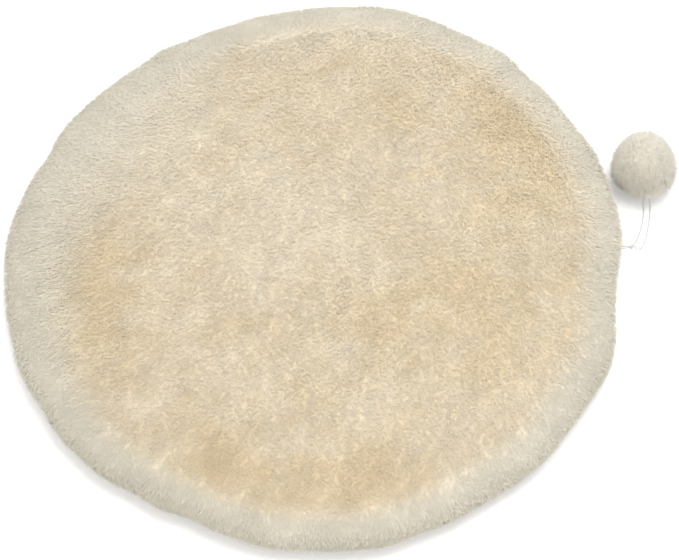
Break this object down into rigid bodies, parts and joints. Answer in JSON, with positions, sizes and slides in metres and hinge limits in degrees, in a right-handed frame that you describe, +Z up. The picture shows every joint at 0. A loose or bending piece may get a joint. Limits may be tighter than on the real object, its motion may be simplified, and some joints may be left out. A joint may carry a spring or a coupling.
{
  "type": "pet cushion bed",
  "caption": "Round low cushion bed with a short-pile plush top, a zipped cloth underside and a pompom on a doubled string at its seam.",
  "frame": {"origin": "middle of the cushion's underside, on the surface that it rests on", "axes": "+Z up through the cushion's thickness, +X towards the place in the seam where the pompom's string leaves, +Y towards the side that the pompom lies on"},
  "size_m": [0.4932, 0.45, 0.064],
  "materials": {
    "fur": "short-pile plush, cream with darker brushed patches",
    "base_cloth": "plain weave, matt",
    "binding": "overlocked thread",
    "liner": "thin non-woven",
    "fibre": "loose white fibre",
    "zip_tape": "herringbone tape",
    "zip_coil": "nylon coil",
    "zip_metal": "plated zinc",
    "string": "twisted thin cord",
    "thread": "sewing thread"
  },
  "bodies": {
    "cushion": {"cover_top": "fur", "cover_base_front": "base_cloth", "cover_base_back": "base_cloth", "seam_binding": "binding", "liner_top": "liner", "liner_bottom": "liner", "fibre_fill": "fibre", "zip_tape_front": "zip_tape", "zip_tape_back": "zip_tape", "zip_coil_front": "zip_coil", "zip_coil_back": "zip_coil", "zip_stop_left": "zip_metal", "zip_stop_right": "zip_metal", "tether_tack": "thread"},
    "slider": {"zip_slider": "zip_metal"},
    "pull": {"zip_pull": "zip_metal"},
    "string_turn": {"tether_knot": "string"},
    "pompom": {"tether_cord": "string", "pompom_pile": "fur", "pompom_stuffing": "fibre", "pompom_tie": "thread"}
  },
  "joints": [
    {"name": "zip_slide", "type": "slide", "parent": "cushion", "child": "slider", "axis": [1, 0, 0], "range_m": [-0.287, 0]},
    {"name": "pull_flip", "type": "hinge", "parent": "slider", "child": "pull", "pos_m": [0.1435, 0, 0.00135], "axis": [0, -1, 0], "range_deg": [0, 180]},
    {"name": "string_swing", "type": "hinge", "parent": "cushion", "child": "string_turn", "pos_m": [0.2275, -0.008, 0.014], "axis": [0, 0, 1], "range_deg": [-110, 0]},
    {"name": "pompom_lift", "type": "hinge", "parent": "string_turn", "child": "pompom", "pos_m": [0.2275, -0.008, 0.014], "axis": [0.9636, -0.2672, 0], "range_deg": [0, 80]}
  ]
}
